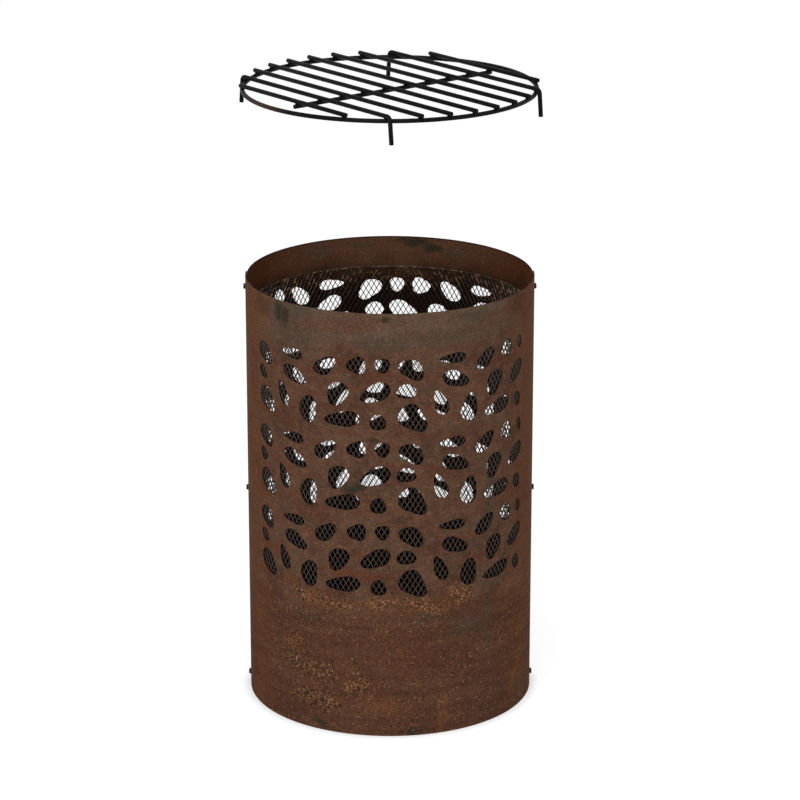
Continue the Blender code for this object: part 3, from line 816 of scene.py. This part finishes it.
def leg_rod(half_length, across):
    """Half of a leg bar is drawn from its middle out: straight, bent down, straight to the
    foot. The other half is its mirror image."""
    sweep = math.pi / 2 - leg_splay
    bend_start = half_length - leg_bend_radius * math.sin(sweep)
    below_bend = leg_drop - leg_bend_radius * (1 - math.cos(sweep))
    bm = bmesh.new()
    bmesh.ops.create_circle(bm, cap_ends=False, segments=rod_sides, radius=rod_radius,
                            matrix=Matrix.Translation((0, across, bar_level)) @ along_bar)
    run = bmesh.ops.extrude_edge_only(bm, edges=bm.edges[:])["geom"]
    bmesh.ops.translate(bm, verts=corners_in(run), vec=(bend_start, 0, 0))
    ring = [edge for edge in edges_in(run)
            if all(abs(corner.co.x - bend_start) < merge_distance for corner in edge.verts)]
    bend = bmesh.ops.spin(
        bm, geom=ring, cent=(bend_start, across, bar_level - leg_bend_radius), axis=(0, 1, 0),
        angle=sweep, steps=leg_bend_steps,
    )["geom_last"]
    foot = bmesh.ops.extrude_edge_only(bm, edges=edges_in(bend))["geom"]
    direction = Vector((math.cos(sweep), 0, -math.sin(sweep)))
    bmesh.ops.translate(bm, verts=corners_in(foot), vec=direction * below_bend / math.sin(sweep))
    rim = [edge for edge in bm.edges if edge.is_boundary and edge.verts[0].co.x > merge_distance]
    bmesh.ops.edgeloop_fill(bm, edges=rim)
    ease_rod_ends(bm)
    bmesh.ops.mirror(bm, geom=bm.verts[:] + bm.edges[:] + bm.faces[:], matrix=Matrix(),
                     merge_dist=merge_distance, axis="X")
    return bm


bm = bmesh.new()
bmesh.ops.create_circle(bm, cap_ends=False, segments=rod_sides, radius=rod_radius,
                        matrix=Matrix.Translation((front_outside, 0, 0)) @ upright)
bmesh.ops.spin(bm, geom=bm.verts[:] + bm.edges[:], cent=(0, 0, 0), axis=(0, 0, 1),
               angle=math.tau, steps=ring_steps, use_merge=True)
bmesh.ops.remove_doubles(bm, verts=bm.verts[:], dist=merge_distance)
grate_piece(bm, "grate_rim_ring", ["grate_ring"])

leg_radius = front_outside + 2 * rod_radius + fit_gap
crossings = []
for bar in range(bar_count):
    across = (bar - (bar_count - 1) / 2) * bar_pitch
    half_chord = math.sqrt(front_outside**2 - across**2)
    crossings += [(half_chord, across), (-half_chord, across), (cross_bar_shift, across)]
    if bar in leg_bars:
        part = leg_rod(math.sqrt(leg_radius**2 - across**2), across)
    else:
        rod_place = Matrix.Translation((0, across, bar_level)) @ along_bar
        part = straight_rod(2 * (half_chord + bar_overhang), rod_place)
    grate_piece(part, f"grill_bar_{bar + 1:02d}", [f"grate_bar_{bar + 1:02d}"])

cross_length = (bar_count - 1) * bar_pitch + 2 * cross_bar_overhang
rod_place = Matrix.Translation((cross_bar_shift, 0, 0)) @ upright
grate_piece(straight_rod(cross_length, rod_place), "grill_cross_bar", ["grate_cross_bar"])

# Every crossing of two rods is spot-welded, which squeezes out a small uneven bead.
weld_noise = random.Random(7)
bead_size = Matrix.Diagonal((0.0031, 0.0029, 0.0014, 1))
bead_unevenness = (0.88, 1.08)
bm = bmesh.new()
for along, across in crossings:
    bead_place = Matrix.Translation((along, across, rod_radius + fit_gap / 2)) @ bead_size
    bead = bmesh.ops.create_icosphere(bm, subdivisions=2, radius=1, matrix=bead_place)
    centre = Vector((along, across, rod_radius))
    for corner in bead["verts"]:
        corner.co = centre + (corner.co - centre) * weld_noise.uniform(*bead_unevenness)
grate_piece(bm, "grate_spot_welds")


# Floor and light. The barrel stands on a plain white table whose surface glows, as for a product
# picture, and the glow is dimmed within 16 mm of the barrel as a painted contact shadow, so only a
# narrow shadow shows at its foot. The light is soft all round.
table_half_width = 15
shadow_reach = 0.016
floor_finish, tree, _ = new_finish("white_light_table")
diffuse = add_node(tree, "BsdfDiffuse", {"Color": colour("#8a8a8a")})
glow_with_painted_shadow = add_node(tree, "AmbientOcclusion", {"Distance": shadow_reach}, output="AO", samples=16)
glow_with_painted_shadow = add_node(tree, "MapRange", {0: glow_with_painted_shadow, 1: 0.5, 2: 0.95, 3: 0.50, 4: 0.74})
glow = add_node(tree, "Emission", {"Color": (1, 1, 1, 1), "Strength": glow_with_painted_shadow})
surface = add_node(tree, "AddShader", {0: diffuse, 1: glow})
add_node(tree, "OutputMaterial", {"Surface": surface})
bm = bmesh.new()
bmesh.ops.create_grid(bm, x_segments=1, y_segments=1, size=table_half_width)
floor_mesh = bpy.data.meshes.new("floor")
bm.to_mesh(floor_mesh)
bm.free()
floor_mesh.materials.append(floor_finish)
floor = bpy.data.objects.new("floor", floor_mesh)
bpy.context.scene.collection.objects.link(floor)

world = bpy.data.worlds.new("studio")
world.use_nodes = True
world.node_tree.nodes["Background"].inputs["Color"].default_value = (1, 1, 1, 1)
world.node_tree.nodes["Background"].inputs["Strength"].default_value = 1.0
bpy.context.scene.world = world

# Each lamp is given by its place, the level on the axis that it aims at, its width and its watts.
for name, spot, aim_level, size, power in (
    ("key_light", (-0.9, -3.8, 2.7), 0.40, 2.2, 120),
    ("top_light", (0.2, -0.6, 3.2), 0.60, 1.6, 18),
):
    lamp_data = bpy.data.lights.new(name, "AREA")
    lamp_data.shape = "SQUARE"
    lamp_data.size = size
    lamp_data.energy = power
    lamp = bpy.data.objects.new(name, lamp_data)
    lamp.location = spot
    lamp.rotation_mode = "QUATERNION"
    lamp.rotation_quaternion = (Vector((0, 0, aim_level)) - Vector(spot)).to_track_quat("-Z", "Y")
    bpy.context.scene.collection.objects.link(lamp)
